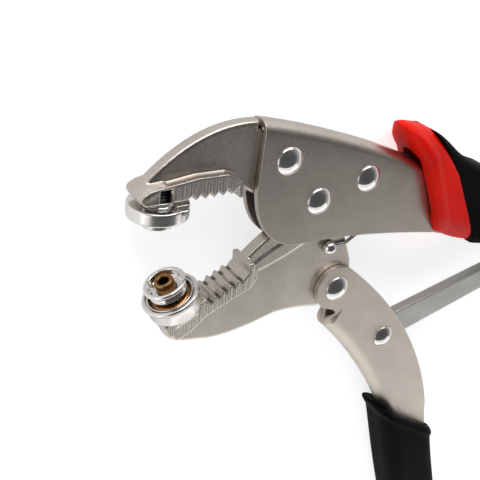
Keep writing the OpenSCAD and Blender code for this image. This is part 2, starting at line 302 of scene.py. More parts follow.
def tube(points, r, sides=10):
    """Points and faces of a round wire along a line, closed at both ends."""
    points = np.asarray(points, float)
    way = np.gradient(points, axis=0)
    way /= np.linalg.norm(way, axis=1)[:, None]
    side = np.cross(way[0], [0.3, 0.2, 1.0])
    verts, angles = [], np.linspace(0, 2 * math.pi, sides, endpoint=False)
    for p, w in zip(points, way):
        side = side - w * np.dot(side, w)
        side /= np.linalg.norm(side)
        up = np.cross(w, side)
        verts.append(p + r * (np.cos(angles)[:, None] * side + np.sin(angles)[:, None] * up))
    n = len(points)
    faces = ring_faces(n, sides)
    faces += [tuple(range(sides))[::-1], tuple((n - 1) * sides + k for k in range(sides))]
    return np.concatenate(verts), faces


# ---- solids from distances: negative inside, zero on the surface ----

def outline_distance(x, y, outline):
    """Distance to a closed outline."""
    x, y = np.broadcast_arrays(x, y)
    near = np.full(x.shape, 1e9)
    inside = np.zeros(x.shape, bool)
    points = np.asarray(outline, float)
    for (x0, y0), (x1, y1) in zip(points, np.roll(points, -1, 0)):
        ex, ey = x1 - x0, y1 - y0
        length = ex * ex + ey * ey
        if length < 1e-9:
            continue
        t = np.clip(((x - x0) * ex + (y - y0) * ey) / length, 0, 1)
        near = np.minimum(near, (x - x0 - t * ex) ** 2 + (y - y0 - t * ey) ** 2)
        if ey:
            inside ^= ((y0 > y) != (y1 > y)) & (x < ex * (y - y0) / ey + x0)
    return np.where(inside, -1, 1) * np.sqrt(near)


def slab(flat, z, half, rounding):
    """An outline's distance made into a plate about z = 0 with rounded edges."""
    a, b = flat + rounding, np.abs(z) - half + rounding
    return np.minimum(np.maximum(a, b), 0) + np.hypot(np.maximum(a, 0), np.maximum(b, 0)) - rounding


def plate(x, y, z, outline, half, rounding):
    """A plate of an outline's shape about z = 0."""
    return slab(outline_distance(x, y, outline), z, half, rounding)


def join(a, b, soft=0.0):
    """Union of two solids, with a fillet."""
    if not soft:
        return np.minimum(a, b)
    h = np.clip(0.5 + 0.5 * (b - a) / soft, 0, 1)
    return b * (1 - h) + a * h - soft * h * (1 - h)


def cut(a, b, soft=0.0):
    """Solid a without solid b."""
    return -join(-a, b, soft)


def skin(field, low, high, step):
    """Points and faces of a field's zero surface, pulled exactly onto it."""
    low, high = np.array(low, float), np.array(high, float)
    axes = [np.arange(l, h + step, step) for l, h in zip(low, high)]
    shape = tuple(len(a) for a in axes)
    value = np.broadcast_to(field(axes[0][:, None, None], axes[1][None, :, None],
                                  axes[2][None, None, :]), shape)
    inside = value < 0
    count = sum(inside[i:shape[0] - 1 + i, j:shape[1] - 1 + j, k:shape[2] - 1 + k].astype(int)
                for i in (0, 1) for j in (0, 1) for k in (0, 1))
    cells = np.argwhere((count > 0) & (count < 8))
    index = np.full(count.shape, -1)
    index[tuple(cells.T)] = np.arange(len(cells))
    total, crossings = np.zeros((len(cells), 3)), np.zeros(len(cells))
    for corner in np.ndindex(2, 2, 2):
        for axis in range(3):
            if corner[axis]:
                continue
            a, b = np.array(corner), np.array(corner)
            b[axis] = 1
            va, vb = value[tuple((cells + a).T)], value[tuple((cells + b).T)]
            hit = (va < 0) != (vb < 0)
            t = np.where(hit, va / np.where(hit, va - vb, 1), 0)
            total += hit[:, None] * (a + t[:, None] * (b - a))
            crossings += hit
    verts = low + step * (cells + total / crossings[:, None])
    faces = []
    for axis in range(3):
        first, last = [slice(None)] * 3, [slice(None)] * 3
        first[axis], last[axis] = slice(None, -1), slice(1, None)
        a, b = inside[tuple(first)], inside[tuple(last)]
        edges = np.argwhere(a != b)
        du, dv = np.eye(3, dtype=int)[(axis + 1) % 3], np.eye(3, dtype=int)[(axis + 2) % 3]
        quads = np.stack([index[tuple((edges - o).T)] for o in (du + dv, dv, 0 * du, du)], 1)
        outward = a[tuple(edges.T)]
        quads[~outward] = quads[~outward][:, ::-1]
        faces.append(quads)
    small = 0.01
    for _ in range(4):
        f = field(*verts.T)
        slope = np.stack([field(*(verts + small * d).T) - f for d in np.eye(3)], 1) / small
        length = np.maximum((slope ** 2).sum(1), 0.2)
        verts = verts - np.clip(f / length, -step / 2, step / 2)[:, None] * slope
    return verts, np.concatenate(faces).tolist()


def carved(name, field, low, high, step):
    """An object from a field's surface, sampled every step between two corners."""
    return mesh_object(name, *skin(field, low, high, step))


# ---- materials ----

def material(name, colour, metallic=0.0, rough=0.5, **sockets):
    """A Principled material, with its nodes, links and shader."""
    made = bpy.data.materials.new(name)
    made.use_nodes = True
    nodes, links = made.node_tree.nodes, made.node_tree.links
    shader = nodes["Principled BSDF"]
    shader.inputs["Base Color"].default_value = (*colour, 1)
    shader.inputs["Metallic"].default_value = metallic
    shader.inputs["Roughness"].default_value = rough
    for socket, value in sockets.items():
        shader.inputs[socket.replace("_", " ")].default_value = value
    return made, nodes, links, shader


def noise(nodes, links, scale, detail=3.0, stretch=(1, 1, 1), turn=0.0):
    """A noise over the object, in metres; stretch lengthens it along an axis."""
    where = nodes.new("ShaderNodeTexCoord")
    mapping = nodes.new("ShaderNodeMapping")
    mapping.inputs["Scale"].default_value = stretch
    mapping.inputs["Rotation"].default_value = (0, 0, math.radians(turn))
    made = nodes.new("ShaderNodeTexNoise")
    made.inputs["Scale"].default_value = scale
    made.inputs["Detail"].default_value = detail
    links.new(where.outputs["Object"], mapping.inputs["Vector"])
    links.new(mapping.outputs["Vector"], made.inputs["Vector"])
    return made


def spread(nodes, links, source, low, high, start=0.35, end=0.65):
    """Maps a noise's middle range onto low to high."""
    made = nodes.new("ShaderNodeMapRange")
    made.inputs["From Min"].default_value = start
    made.inputs["From Max"].default_value = end
    made.inputs["To Min"].default_value = low
    made.inputs["To Max"].default_value = high
    links.new(source.outputs["Fac"], made.inputs["Value"])
    return made


def mix_colours(nodes, links, factor, a, b):
    """The output of a mix from colour a to colour b."""
    made = nodes.new("ShaderNodeMix")
    made.data_type = "RGBA"
    made.inputs["A"].default_value = (*a, 1)
    made.inputs["B"].default_value = (*b, 1)
    links.new(factor, made.inputs["Factor"])
    return made.outputs["Result"]


def add_bump(nodes, links, shader, source, strength, distance):
    """Adds a bump on top of any that the shader has already."""
    made = nodes.new("ShaderNodeBump")
    made.inputs["Strength"].default_value = strength
    made.inputs["Distance"].default_value = distance
    links.new(source, made.inputs["Height"])
    previous = shader.inputs["Normal"].links
    if previous:
        links.new(previous[0].from_socket, made.inputs["Normal"])
    links.new(made.outputs["Normal"], shader.inputs["Normal"])


def metal(name, colour, rough, grain=0.2, grain_size=0.35, blotch=0.06, stretch=(1, 1, 1), turn=0):
    """Satin metal: fine grain in its bump and roughness, and faint clouding in its colour."""
    cloud_scale, grain_depth = 110, 0.00006
    made, nodes, links, shader = material(name, colour, 1.0, rough)
    fine = noise(nodes, links, 1 / (grain_size * MM), 4, stretch, turn)
    clouds = noise(nodes, links, cloud_scale, 3)
    dark = tuple(c * (1 - blotch) for c in colour)
    light = tuple(min(c * (1 + blotch), 1) for c in colour)
    tone = spread(nodes, links, clouds, 0, 1, 0.3, 0.7)
    links.new(mix_colours(nodes, links, tone.outputs[0], dark, light), shader.inputs["Base Color"])
    links.new(spread(nodes, links, fine, rough - 0.05, rough + 0.07).outputs[0],
              shader.inputs["Roughness"])
    add_bump(nodes, links, shader, fine.outputs["Fac"], grain, grain_depth)
    return made


def milled(name, colour, rough, turn):
    """Forged steel with cutter marks on the block's sides, and painted shade darkening the roots
    between its teeth.
    """
    mark_scale, mark_stretch, mark_depth = 2200, (1, 0.04, 0.04), 0.00022
    painted_root_shade_colour = (0.10, 0.09, 0.08)
    made = metal(name, colour, rough, 0.12, 0.4, 0.08)
    nodes, links = made.node_tree.nodes, made.node_tree.links
    shader = nodes["Principled BSDF"]
    marks = noise(nodes, links, mark_scale, 2, mark_stretch, turn)
    block = nodes.new("ShaderNodeAttribute")
    block.attribute_name = "milled"
    height = nodes.new("ShaderNodeMath")
    height.operation = "MULTIPLY"
    links.new(marks.outputs["Fac"], height.inputs[0])
    links.new(block.outputs["Fac"], height.inputs[1])
    add_bump(nodes, links, shader, height.outputs[0], 0.7, mark_depth)
    # painted shade: the colour turns nearly black in the roots between the teeth
    root = nodes.new("ShaderNodeAttribute")
    root.attribute_name = "painted_root_shade"
    plain = shader.inputs["Base Color"].links[0].from_socket
    mixed = mix_colours(nodes, links, root.outputs["Fac"], colour, painted_root_shade_colour)
    links.new(plain, mixed.node.inputs["A"])
    links.new(mixed, shader.inputs["Base Color"])
    return made


def moulded(name, colour, rough, grain_size, **sockets):
    """Soft moulded plastic: a pebbled skin and slightly uneven colour."""
    cloud_scale, shade, pebble_depth = 70, 0.82, 0.00008
    made, nodes, links, shader = material(name, colour, 0.0, rough, **sockets)
    pebble = noise(nodes, links, 1 / (grain_size * MM), 2)
    clouds = noise(nodes, links, cloud_scale, 3)
    tone = spread(nodes, links, clouds, 0, 1)
    darker = tuple(c * shade for c in colour)
    links.new(mix_colours(nodes, links, tone.outputs[0], darker, colour),
              shader.inputs["Base Color"])
    links.new(spread(nodes, links, clouds, rough - 0.05, rough + 0.06).outputs[0],
              shader.inputs["Roughness"])
    add_bump(nodes, links, shader, pebble.outputs["Fac"], 0.25, pebble_depth)
    return made


# name, colour, roughness, then how deep and how wide the grain is, and how strong the clouding
# one nickel sheet steel as lit and shaded copies: the lower handle's and lever's copy is painted
# lighter, the upper handle's darker, for how the light falls on them
pressed_steel = metal("satin_nickel_sheet_painted_darker", (0.54, 0.49, 0.44), 0.32, 0.8, 0.45)
lighter_painted_sheet = metal("nickel_sheet_painted_lighter", (0.70, 0.635, 0.56), 0.44, 0.14, 0.5)
# one forged steel as lit and shaded copies: the lower jaw's copy is painted lighter, the upper jaw's
# darker, for how the light falls on them; their cutter marks also turn differently
darker_painted_forging = milled("nickel_forging_upper_painted_darker", (0.56, 0.51, 0.465), 0.32, 0)
lighter_painted_forging = milled("nickel_forging_lower_painted_lighter", (0.66, 0.61, 0.55), 0.31, -JAW_ANGLE)
chrome = metal("polished_rivet", (0.80, 0.78, 0.76), 0.07, 0.02, 0.8, 0.02)
die_steel = metal("turned_die", (0.78, 0.76, 0.73), 0.20, 0.05, 0.5, 0.03)
plated_steel = metal("zinc_plate", (0.66, 0.66, 0.63), 0.28, 0.12, 0.5, 0.06)
black_steel = metal("black_oxide", (0.045, 0.045, 0.048), 0.38, 0.15, 0.4, 0.3)
spring_wire = metal("spring_wire", (0.42, 0.40, 0.38), 0.24, 0.05, 0.6, 0.05)
brass = metal("snap_brass", (0.34, 0.18, 0.07), 0.28, 0.08, 0.5, 0.15)
snap_chrome = metal("snap_plate", (0.84, 0.82, 0.78), 0.10, 0.02, 0.8, 0.03)
link_steel = metal("link_steel", (0.50, 0.49, 0.47), 0.36, 0.25, 0.4, 0.1)
black_rubber = moulded("black_grip_skin", (0.004, 0.004, 0.0045), 0.6, 0.5, Specular_IOR_Level=0.05)
red_rubber = moulded("red_collar_skin", (1.0, 0.012, 0.004), 0.42, 0.6, Specular_IOR_Level=0.12)


# ---- pressed channels ----

def channel(name, stations, half, radius, covered):
    """A sheet channel from stations of (back point, edge point), each a row of points.

    A row runs up one wall, round both bends and down the other wall. Its back is left open where
    covered is false, and the walls there are flat.
    """
    turns, depth_steps = 8, 7
    soft_edge, sharp_from = 0.22, 50
    verts = []
    for i, (top, edge) in enumerate(stations):
        down = edge - top
        depth = max(np.linalg.norm(down), 1e-6)
        down = down / depth
        r = min(radius[i], depth * 0.9)
        drop = r * bend_left_out(i, covered)
        wall = [(t, half[i]) for t in np.linspace(depth, r, depth_steps)]
        for k in range(1, turns + 1):
            a = math.pi / 2 * k / turns
            if covered[i]:
                wall.append((r - r * math.sin(a), half[i] - r + r * math.cos(a)))
            else:
                wall.append((r + (drop - r) * k / turns, half[i]))
        for side in (1, -1):
            points = wall if side == 1 else wall[::-1]
            verts += [[*(top + down * t), side * z] for t, z in points]
    columns = 2 * (depth_steps + turns)
    faces = []
    for i in range(len(stations) - 1):
        for k in range(columns - 1):
            crown = k == columns // 2 - 1
            if crown and not (covered[i] and covered[i + 1]):
                continue
            a, b = i * columns, (i + 1) * columns
            faces.append((a + k, a + k + 1, b + k + 1, b + k))
    thing = tidy_mesh(mesh_object(name, verts, faces))
    modifier(thing, "SOLIDIFY", thickness=SHEET * MM, offset=-1, use_even_offset=False)
    modifier(thing, "BEVEL", width=soft_edge * MM, segments=3, limit_method="ANGLE",
             angle_limit=math.radians(sharp_from), harden_normals=True)
    return thing


def bend_left_out(i, covered):
    """How much of the bend an open row's walls leave out: 0 at the ears, 1 where the back starts."""
    reach = 6
    before_back = covered.index(True) - 1 - i
    return min(max(1 - before_back / reach, 0), 1)


def upper_handle():
    """The upper channel, and the pin inside it that holds the spring's rear hook."""
    nose_rows, rows, nose_steps = 16, 110, 42
    front_bend, rear_bend, pin_r = 3.4, 5.6, 0.8
    first_back = bend(*UPPER_BACK_CURVES[0], 100)
    first_edge = bend(*UPPER_EDGE_CURVES[0], 60)
    rest_back = path(first_back[nose_steps:], bend(*UPPER_BACK_CURVES[1], 60), UPPER_BACK_END)
    rest_edge = path(first_edge[-1], bend(*UPPER_EDGE_CURVES[1], 80), UPPER_EDGE_END)
    backs = path(even(first_back[:nose_steps + 1], nose_rows)[:-1], even(rest_back, rows))
    edges = path(even(first_edge, nose_rows)[:-1], even(rest_edge, rows))
    flare = upper_flare(along_screw(*backs.T))
    half = HALF_FRONT + (HALF_REAR - HALF_FRONT) * flare
    radius = front_bend + (rear_bend - front_bend) * flare
    thing = channel("upper_channel", list(zip(backs, edges)), half, radius, [True] * len(backs))
    pin_line = [[*SPRING_ANCHOR, z] for z in np.linspace(-HALF_FRONT, HALF_FRONT, 5)]
    pin = mesh_object("spring_anchor_pin", *tube(pin_line, pin_r, 16), 40)
    finish_piece(thing, pressed_steel, "upper_body", "pressed_steel", "upper_handle")
    pin.data.materials.append(plated_steel)
    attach(pin, "upper_body")


def lower_handle():
    """The lower channel: round ears, a neck that is open at the back, and the covered handle.

    Its rows start at the ears' tip, the point farthest from the link, and go round both sides.
    """
    ear_r, ear_span, ear_rows = 7.4, 57, 12
    neck_rows, neck_steps, rows = 12, 14, 110
    tip = math.degrees(math.atan2(*(HANDLE_PIVOT - LINK_PIVOT)[::-1]))
    ear_a = arc(HANDLE_PIVOT, ear_r, tip, tip + ear_span, ear_rows - 1)
    ear_b = arc(HANDLE_PIVOT, ear_r, tip, tip - ear_span, ear_rows - 1)
    first_edge = bend(*LOWER_EDGE_CURVES[0], 100)
    neck_a = even(path(arc(HANDLE_PIVOT, ear_r, tip + ear_span, 225, 8),
                       [[9.4, -41], [10.4, -43.4]], LOWER_BACK[0]), neck_rows)[1:]
    neck_b = even(path(arc(HANDLE_PIVOT, ear_r, tip - ear_span, 52, 6),
                       first_edge[:neck_steps + 1]), neck_rows)[1:]
    backs = even(path(*[bend(*c, 60) for c in LOWER_BACK_CURVES]), rows)
    edges = even(path(first_edge[neck_steps:], bend(*LOWER_EDGE_CURVES[1], 60)), rows)
    a = path(ear_a, neck_a, backs[1:])
    b = path(ear_b, neck_b, edges[1:])
    open_rows = len(ear_a) + len(neck_a) - 1
    covered = [i >= open_rows for i in range(len(a))]
    half = np.full(len(a), HALF_FRONT)
    radius = half - 0.05
    thing = channel("lower_channel", list(zip(a, b)), half, radius, covered)
    finish_piece(thing, lighter_painted_sheet, "handle_body", "pressed_steel", "lower_handle")


# ---- rivets ----

def dome(r, rise, top, n):
    """Profile points of a spherical cap, from its pole at height top out to radius r."""
    ball_r = (r * r + rise * rise) / (2 * rise)
    lean = np.linspace(0, math.asin(r / ball_r), n)
    return [(ball_r * math.sin(t), top - ball_r * (1 - math.cos(t))) for t in lean]


def rivet_profile(r, h, face, shank_r):
    """A rivet from pole to pole: domed heads with a short rounded skirt, and the shank."""
    skirt = 0.3
    rim = [(r - 0.1, face + skirt + 0.08), (r, face + skirt - 0.05), (r - 0.06, face)]
    half = dome(r, h - skirt, face + h, 14)[:-1] + rim + [(shank_r, face)]
    return half + [(q, -z) for q, z in half[::-1]]


def rivets():
    """Rivets: name, node, body, places, and the radius and height of a head and a shank's radius."""
    sets = (("tang_rivet_set", "tang_rivets", "upper_body", [FRONT_RIVET, REAR_RIVET], RIVET),
            ("jaw_rivet", "jaw_pivot_rivet", "upper_body", [np.zeros(2)], RIVET),
            ("handle_rivet", "handle_pivot_rivet", "handle_body", [HANDLE_PIVOT], RIVET),
            ("toggle_rivet", "link_rivet", "handle_body", [LINK_PIVOT], (3.7, 1.7, 3)),
            ("lever_rivet", "lever_pin", "handle_body", [LEVER_PIVOT], (2.3, 0.9, 1.5)))
    for name, node, body, places, (r, h, shank_r) in sets:
        profile = rivet_profile(r, h, HALF_FRONT + FIT / 2, shank_r)
        parts = [(profile, [*at, 0], [0, 0, 1]) for at in places]
        finish_piece(lathe_object(name, parts), chrome, body, "rivet_chrome", node)


# ---- jaws ----

def mark_block(thing, roots):
    """Marks a toothed block for its material: its flat sides, and painted shade in the roots between
    its teeth.
    """
    side_depth, root_side, fade, fade_scale = 0.25, 0.1, 1.6, 0.42
    place = design([v.co for v in thing.data.vertices])
    below_side = HALF_BLOCK - np.abs(place[:, 2])
    from_root = np.min([np.hypot(*(place[:, :2] - r).T) for r in roots], axis=0)
    # painted shade: darkest at each tooth root, fading out within a fraction of a millimetre, and
    # left off the skin of the side faces
    dark = np.clip(fade - from_root / fade_scale, 0, 1) * (below_side > root_side)
    for name, value in (("milled", below_side < side_depth), ("painted_root_shade", dark)):
        made = thing.data.attributes.new(name, "FLOAT", "POINT")
        made.data.foreach_set("value", value.astype(np.float32))


def fixed_jaw():
    """The upper jaw: a thin blade with a tang, a toothed block, and a nose over the die's bore."""
    bore_r, bore_top, eye_room = 5.2, 12.4, 9.2
    top = bend([-21.6, 26.6], [-40, 28.5], [-56, 12.6])
    blade = path(top[::-1], [[-21.6, 24.4], [-14, 22.6], [-4, 21.2], [24, 10.2], [26, -2.5],
                             [-4, -2.5], [-21.6, 5.2], [-28, 9], [-54, 9]])
    upper_teeth = teeth([-42.2, 9.4], 0, 5, -TOOTH_DEPTH)
    block = path([[-55.5, 8.4], [-56.6, 9.1], [-57.1, 10.4], [-56.4, 11.6], [-54.6, 12.5],
                  [-52, 13.0], [-40.6, 14.2], [-31.6, 13.9], [-28.4, 12.2], [-26.6, 9.8],
                  [-26.2, 6.2], [-27.6, 6.2], [-28.2, 9.4]],
                 upper_teeth[::-1], [-43.5, 8.4])
    nose = path([[-55.5, 8.6], [-56.8, 9.3], [-57.4, 10.6], [-56.6, 12.2], [-54.6, 13.4],
                 [-50, 13.6], [-48, 12]])

    def field(x, y, z):
        solid = plate(x, y, z, blade, HALF_BLADE, 1.0)
        solid = join(solid, plate(x, y, z, block, HALF_BLOCK, 0.35), 0.7)
        solid = join(solid, plate(x, y, z, nose, HALF_BLOCK - 0.3, 2.2), 0.8)
        bore = np.maximum(np.hypot(x - UPPER_DIE_X, z) - bore_r, y - bore_top)
        solid = cut(solid, bore, 0.3)
        return cut(solid, np.hypot(x, y) - eye_room)

    thing = carved("upper_jaw_forging", field, [-60, -4, -5.6], [27, 29, 5.6], 0.3)
    mark_block(thing, upper_teeth[::2])
    finish_piece(thing, darker_painted_forging, "upper_body", "forged_steel", "fixed_jaw")


# the lower die's axis, and the middle of its rim
DIE_TURN = math.radians(JAW_ANGLE)
DIE_AXIS = np.array([-math.sin(DIE_TURN), math.cos(DIE_TURN), 0])
DIE_RIM = np.array([-44.9, -22.8, 0])


def at_die(across, height):
    """A point given across and along the lower die's axis, from the middle of its rim."""
    return DIE_RIM[:2] + across * np.array([DIE_AXIS[1], -DIE_AXIS[0]]) + height * DIE_AXIS[:2]


def lower_jaw():
    """The lower jaw: a blade with the pivot's eye, a toothed block with a stop lip, a die's seat."""
    seat_r, seat_middle, seat_half = 6, -6.1, 1.1
    die_room_r, die_room_floor = 8.15, -5
    blade = path([[16.6, -23.6], [13.5, -15.6]], arc([0, 0], 8.7, -28, 213, 40),
                 bend([-12, -8.2], [-15.5, -9.8], [-21.2, -14.8], 8),
                 [[-22.6, -20], [-38, -27], [-44, -30], [-47.4, -32.6], [-46.6, -35.2]],
                 bend([-45.4, -36.5], [-43, -38.3], [-37, -39.2], 8),
                 bend([-33, -39.9], [-25, -40.6], [-15, -38.1], 10),
                 bend([-10, -36.9], [-2, -36.6], [5, -38.4], 8), arc(HANDLE_PIVOT, 6.7, -120, 20))
    lower_teeth = teeth([-24.1, -21.1], 180 + JAW_ANGLE, 5, -TOOTH_DEPTH)
    block = path([[-19.4, -17.8], [-20.9, -15.6], [-22.3, -15.8], [-22.2, -18.6], [-23.6, -20.2]],
                 lower_teeth,
                 [at_die(die_room_r, -4.4), at_die(die_room_r, die_room_floor),
                  at_die(-6.6, die_room_floor), at_die(-6.6, -9), at_die(-5.7, -9.9)],
                 [[-44.6, -35.6], [-40.5, -34.2], [-35.5, -30], [-28, -26.6], [-21.3, -23.9],
                  [-19.3, -21.4]])
    pad = path(bend([-18.9, -20.5], [-6, -17.2], [3.5, -11]), [3, -9],
               bend([-2, -10.5], [-12, -12.6], [-19.2, -17.6]))

    def field(x, y, z):
        solid = plate(x, y, z, blade, HALF_BLADE, 0.7)
        solid = join(solid, plate(x, y, z, pad, HALF_BLADE + 0.35, 0.3), 0.3)
        solid = join(solid, plate(x, y, z, block, HALF_BLOCK, 0.35), 0.8)
        dx, dy = x - DIE_RIM[0], y - DIE_RIM[1]
        height = dx * DIE_AXIS[0] + dy * DIE_AXIS[1]
        across = np.hypot(dx * DIE_AXIS[1] - dy * DIE_AXIS[0], z)
        seat = np.maximum(across - seat_r, np.abs(height - seat_middle) - seat_half)
        solid = join(solid, np.maximum(seat, np.abs(z) - HALF_BLOCK), 0.6)
        solid = cut(solid, np.maximum(across - die_room_r, die_room_floor - height), 0.2)
        return cut(solid, np.hypot(x, y) - HOLE_R)

    thing = carved("lower_jaw_forging", field, [-52, -43, -5.6], [20, 10, 5.6], 0.3)
    mark_block(thing, lower_teeth[::2])
    finish_piece(thing, lighter_painted_forging, "jaw_body", "forged_steel", "lower_jaw")


# ---- dies and the snap ----

def upper_die():
    """The upper die, with a hollow boss and a notched rim, measured down from its face; its stud."""
    face, disc, plug_r, plug = 7.2, 3.8, 4.6, 1.2
    boss_r, boss_end, hollow_r, hollow_start = 4.2, 7.0, 3.45, 4.6
    notch_x, notch_half, notch_z, notch_end = 5.2, 2.3, 5.0, 1.7
    reach = 9.2

    def field(x, y, z):
        from_axis, down = np.hypot(x - UPPER_DIE_X, z), face - y

        def disk(r, start, end, rounding):
            return slab(from_axis - r, down - (start + end) / 2, (end - start) / 2, rounding)

        solid = join(disk(DIE_R, 0, disc, 0.45), disk(plug_r, -plug, 1, 0.1))
        solid = join(solid, disk(boss_r, 1, boss_end, 0.25), 0.35)
        solid = cut(solid, disk(hollow_r, hollow_start, boss_end + 2, 0.1), 0.15)
        notch = np.maximum(np.abs(x - UPPER_DIE_X - notch_x) - notch_half,
                           np.maximum(notch_z - z, down - notch_end))
        return cut(solid, notch, 0.2)

    low = [UPPER_DIE_X - reach, -0.6, -reach]
    thing = carved("upper_die_turned", field, low, [UPPER_DIE_X + reach, 9.4, reach], 0.25)
    finish_piece(thing, die_steel, "upper_body", "die_steel", "upper_die")
    pitch, turns, root_r, thread, end_r, end = 0.9, 4, 3.1, 0.4, 2, 4
    top = turns * pitch
    profile = [(root_r + thread * (k % 2), k * pitch / 2) for k in range(2 * turns + 1)]
    profile = [(0, 0)] + profile + [(end_r, top), (end_r, top + end), (0, top + end)]
    foot = [UPPER_DIE_X, face + plug + FIT / 2, 0]
    shank = lathe_object("upper_die_stud", [(profile, foot, [0, 1, 0])])
    finish_piece(shank, black_steel, "upper_body", "black_steel", "upper_die_shank")


def rounded_corner(r, h, size, start, end, n=5):
    """Profile points of a rounded edge about (r, h)."""
    a = np.radians(np.linspace(start, end, n))
    return [(r + size * math.cos(t), h + size * math.sin(t)) for t in a]


def lower_die():
    """The lower die and the snap's two halves: profiles from the middle of the die's rim."""
    profile = ([(0, -9), (2, -9), (2, -5), (7.3, -5)] + rounded_corner(7.4, -4.6, 0.4, -80, 0)
               + [(7.8, -1.6), (7.95, -1.3)] + rounded_corner(7.85, -0.25, 0.66, -50, 95, 9)
               + [(7.45, 0.35), (7.35, -0.9), (7.0, -0.9)] + rounded_corner(6.7, 0.1, 0.24, 0, 180, 7)
               + [(6.4, -2.5), (6.1, -2.6), (0, -2.6)])
    thing = lathe_object("lower_die_turned", [(profile, DIE_RIM, DIE_AXIS)])
    finish_piece(thing, die_steel, "jaw_body", "die_steel", "lower_die")
    cap = ([(0, -1), (1.6, -1), (1.6, 5.2)] + rounded_corner(2.25, 5.2, 0.6, 180, 0, 9)
           + [(2.9, 1.1), (3.4, 0.3), (5.4, -0.1)] + rounded_corner(5.6, -0.9, 0.5, 80, -10, 5)
           + [(6.1, -2.3), (5.9, -2.58), (0, -2.58)])
    thing = lathe_object("snap_cap_pressed", [(cap, DIE_RIM, DIE_AXIS)])
    finish_piece(thing, brass, "jaw_body", "snap_brass", "snap_cap")
    ring = ([(3.1, 1.2), (5.0, 1.2)] + rounded_corner(5.2, 1.6, 0.35, -80, 30)
            + [(5.15, 2.6)] + rounded_corner(5.62, 4.3, 0.7, -60, 175, 14)
            + [(4.92, 4.0), (4.75, 3.1), (4.3, 2.7), (3.1, 2.6)])
    thing = lathe_object("snap_socket_ring", [(ring, DIE_RIM, DIE_AXIS, True)])
    finish_piece(thing, snap_chrome, "jaw_body", "rivet_chrome", "snap_socket")


def spring_pin():
    """The round-headed pin in the lower jaw's tail."""
    head_r, base, top, skirt, rim, stem_r = 2.05, 3.28, 5.0, 0.35, 0.15, 1.1
    profile = dome(head_r, top - base - skirt, top, 12)
    profile += [(head_r, base + rim), (head_r - rim, base), (stem_r, base),
                (stem_r, -HALF_BLADE), (0, -HALF_BLADE)]
    thing = lathe_object("spring_post_pin", [(profile, [*SPRING_POST, 0], [0, 0, 1])])
    finish_piece(thing, chrome, "jaw_body", "rivet_chrome", "spring_pin")


def return_spring():
    """Eye over the pin, lead wire, close-wound coil and rear hook, as one bent wire."""
    wire, eye_z, eye_r, coil_r, coil_gap, hook_r = 0.55, 2.68, 1.68, 1.5, 0.06, 1.5
    front, back = np.array([24, -11.6, 0]), np.array([60, -15.2, 0])
    _, u, v, _ = turned_frame(front, back - front)
    turns = int(np.linalg.norm(back - front) / (2 * wire + coil_gap))
    spin = np.linspace(0, turns * 2 * math.pi, turns * 18 + 1)
    run = np.linspace(0, 1, len(spin))[:, None]
    coil = front + run * (back - front) + coil_r * (np.cos(spin)[:, None] * u
                                                    + np.sin(spin)[:, None] * v)
    eye = [[*p, eye_z] for p in arc(SPRING_POST, eye_r, 340, 20, 20)]
    lead = even([eye[-1], [9.6, -17.1, eye_z], [13.4, -17.0, eye_z], [18.6, -15.6, 1.2], coil[0]], 24)
    hook = [[*p, 0] for p in arc(SPRING_ANCHOR, hook_r, 160, 480, 20)]
    tail = even([coil[-1], [62.5, -16.4, 0.6], hook[0]], 8)
    line = path(eye, lead[1:-1], coil, tail[1:-1], hook)
    thing = mesh_object("return_spring_wire", *tube(line, wire))
    thing.data.materials.append(spring_wire)
    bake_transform(thing)
    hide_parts("return_spring")


# ---- grips and collar ----

# a sleeve's thickness past the channel, and half the width of its slit over the open edge
SLEEVE = 2.2
SLIT_HALF = 2.5


def slit(solid, x, y, z, outline):
    """A sleeve with a slit over its channel's open edge."""
    return cut(solid, plate(x, y, z, outline, SLIT_HALF, 0.3), 0.3)


def lower_grip():
    """The lower sleeve: a flared mouth with a bead round it, and a swollen back."""
    swell, swell_y = 2.0, -88
    past = np.maximum(LOWER_BACK[:, 1:] / swell_y - 1, 0)
    back_line = beside(LOWER_BACK, -SLEEVE - swell * np.sin(math.pi * past))
    edge_line = beside(LOWER_EDGE, SLEEVE)
    mouth_a, mouth_b = np.array([38.0, -88.5]), np.array([64.3, -105.5])
    outline = path([[32, -76]], [p for p in back_line if p[1] < -80],
                   arc([75.9, -172.4], 9.2, 205, 335, 14),
                   [p for p in edge_line[::-1] if p[1] < -86], [[62, -84]])
    inner = path(beside(LOWER_BACK, -0.05), [[71.5, -178.6], [84.6, -171.4]],
                 beside(LOWER_EDGE, 0.05)[::-1])
    slot = path([p for p in beside(LOWER_EDGE, -2) if p[1] < -80],
                [[75.5, -171], [77.5, -200], [120, -200], [120, -80]])
    mouth_way = (mouth_b - mouth_a) / np.linalg.norm(mouth_b - mouth_a)
    bead_r, bead_in, bead_back, lip, lip_length = 1.5, 0.85, 0.6, 2.5, 7

    def field(x, y, z):
        body = plate(x, y, z, outline, HALF_SLEEVE, 5.5)
        ahead = (x - mouth_a[0]) * -mouth_way[1] + (y - mouth_a[1]) * mouth_way[0]
        solid = np.maximum(body, ahead)
        solid = join(solid, np.hypot(body + bead_in, ahead + bead_back) - bead_r, 0.7)
        solid = cut(solid, np.maximum(body + lip, -ahead - lip_length), 0.8)
        solid = cut(solid, plate(x, y, z, inner, HALF_FRONT + FIT, 0.3))
        return slit(solid, x, y, z, slot)

    thing = carved("lower_grip_sleeve", field, [33, -183.5, -9.4], [90, -82, 9.4], 0.5)
    finish_piece(thing, black_rubber, "handle_body", "black_grip", "lower_grip")


# shared by the upper sleeve and its collar: the seam between them, their top and their bottom
SEAM = [[36, 25], [40, 15.9], [45.1, 9.2], [50.5, 1.1], [57.7, -13], [64, -26], [66, -34],
        [200, -90], [200, 30]]
GUARD_TOP = path([[30.6, 12]], bend([31.2, 17.4], [37, 20.0], [47, 11.6]),
                 bend([49.5, 9.5], [56, 3.9], [68, -0.6]))
GUARD_LOW = bend([68, -27.2], [58, -25.4], [49.5, -20.2])


